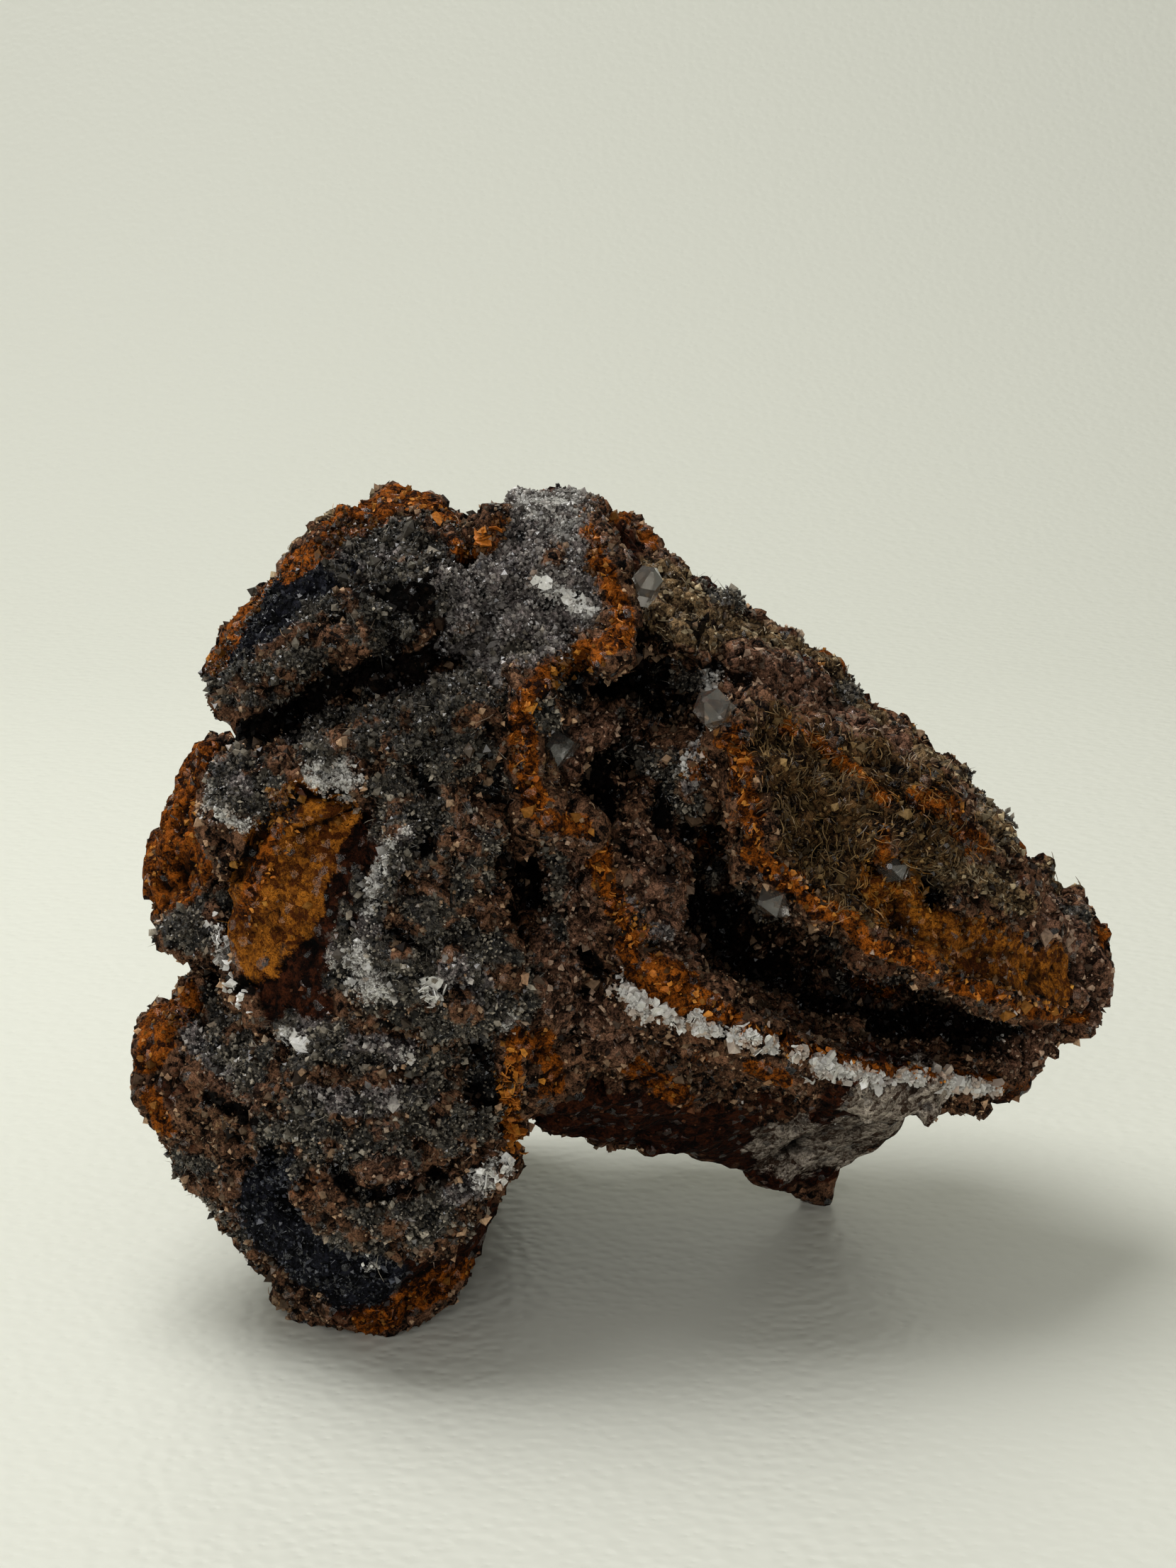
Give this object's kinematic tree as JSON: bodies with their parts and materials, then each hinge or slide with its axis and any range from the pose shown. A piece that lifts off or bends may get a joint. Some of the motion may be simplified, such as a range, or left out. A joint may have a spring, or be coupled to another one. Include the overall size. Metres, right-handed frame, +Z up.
{
  "type": "plattnerite mineral specimen",
  "caption": "Rugged lump of rusty gossan with hollows, grey crystal crusts, a white vein and clear crystals; a mineral specimen that stands on three small flats.",
  "frame": {"origin": "middle of the bottom of the specimen's box, on the surface that it stands on", "axes": "+X to the right of the show side along the longest extent, +Y away from the viewer, +Z up"},
  "size_m": [0.0634, 0.0458, 0.0519],
  "materials": {
    "gossan": "matte",
    "grey_druse": "satin",
    "dark_crust": "satin",
    "white_vein": "satin",
    "cloudy_quartz": "gloss",
    "clear_crystal": "gloss"
  },
  "bodies": {
    "root": {"gossan": "gossan", "hood_druse": "grey_druse", "front_druse": "grey_druse", "leg_druse": "grey_druse", "hollow_crust": "dark_crust", "white_vein": "white_vein", "crest_quartz": "cloudy_quartz", "window_crystal": "clear_crystal", "bead_crystal": "clear_crystal", "ledge_crystal": "clear_crystal", "block_crystal": "clear_crystal", "brow_crystal": "clear_crystal"}
  },
  "joints": []
}
